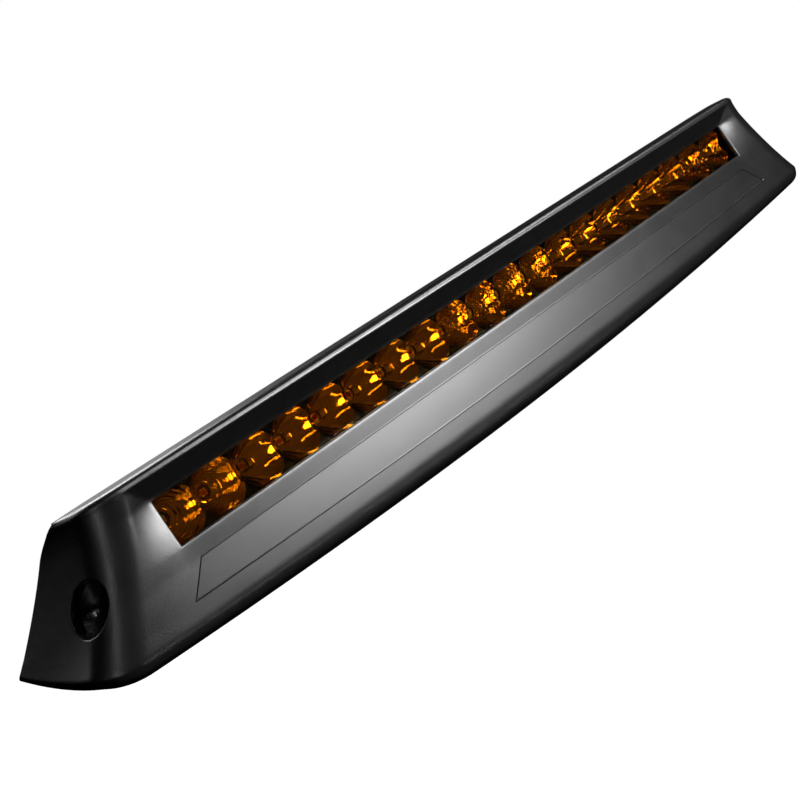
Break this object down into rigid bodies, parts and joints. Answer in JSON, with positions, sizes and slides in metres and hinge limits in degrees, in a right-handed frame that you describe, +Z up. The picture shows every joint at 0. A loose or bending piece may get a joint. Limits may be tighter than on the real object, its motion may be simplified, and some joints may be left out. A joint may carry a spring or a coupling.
{
  "type": "vehicle warning light bar",
  "caption": "Amber single-row warning light bar: a sealed lamp module hung in a black moulded flush-mount housing with a visor and swept cheeks.",
  "frame": {"origin": "centre of the bounding box", "axes": "+X along the bar, -Y the way the light leaves, +Z up towards the visor"},
  "size_m": [0.65, 0.0702, 0.0862],
  "materials": {
    "housing": "fine-grained black moulding",
    "steel": "zinc plated",
    "bracket_black": "black powder coat",
    "brass": "plain",
    "alloy_black": "black anodised",
    "seal_rubber": "matt",
    "lens_amber": "clear amber polycarbonate",
    "mirror_coat": "vacuum metallised",
    "board_black": "black solder mask",
    "led_body": "ceramic with phosphor",
    "led_dome": "clear silicone",
    "pad_grey": "thermal pad",
    "board_green": "solder mask",
    "part_black": "moulded",
    "part_tan": "ceramic",
    "fitting_black": "nylon"
  },
  "bodies": {
    "housing": {"housing_shell": "housing", "mount_sleeve_left": "steel", "mount_sleeve_right": "steel", "bracket_left": "bracket_black", "bracket_right": "bracket_black", "bracket_screws_left": "steel", "bracket_screws_right": "steel", "thread_inserts_left": "brass", "thread_inserts_right": "brass"},
    "lamp_module": {"heat_sink": "alloy_black", "end_cap_left": "alloy_black", "end_cap_right": "alloy_black", "end_gasket_left": "seal_rubber", "end_gasket_right": "seal_rubber", "end_cap_screws_left": "steel", "end_cap_screws_right": "steel", "pivot_bolt_left": "steel", "pivot_bolt_right": "steel", "pivot_washer_left": "steel", "pivot_washer_right": "steel", "lens": "lens_amber", "lens_seal": "seal_rubber", "reflector_fluted_left": "mirror_coat", "reflector_smooth_left": "mirror_coat", "reflector_faceted_centre": "mirror_coat", "reflector_smooth_right": "mirror_coat", "reflector_faceted_right": "mirror_coat", "led_board": "board_black", "led_packages": "led_body", "led_domes": "led_dome", "thermal_pad": "pad_grey", "driver_board": "board_green", "driver_inductors": "part_black", "driver_capacitors": "part_tan", "driver_chips": "part_black", "gland_body": "fitting_black", "gland_seal": "seal_rubber", "gland_nut": "fitting_black", "vent_plug": "fitting_black"},
    "bolt_left": {"mount_bolt_left": "steel"},
    "bolt_right": {"mount_bolt_right": "steel"}
  },
  "joints": [
    {"name": "aim_tilt", "type": "hinge", "parent": "housing", "child": "lamp_module", "pos_m": [0, -0.0035, 0.0171], "axis": [1, 0, 0], "range_deg": [-2.5, 2.5]},
    {"name": "left_bolt_turn", "type": "hinge", "parent": "housing", "child": "bolt_left", "pos_m": [-0.294, -0.0075, -0.0069], "axis": [0, -0.2873, 0.9578], "continuous": true},
    {"name": "right_bolt_turn", "type": "hinge", "parent": "housing", "child": "bolt_right", "pos_m": [0.294, -0.0075, -0.0069], "axis": [0, -0.2873, 0.9578], "continuous": true}
  ]
}
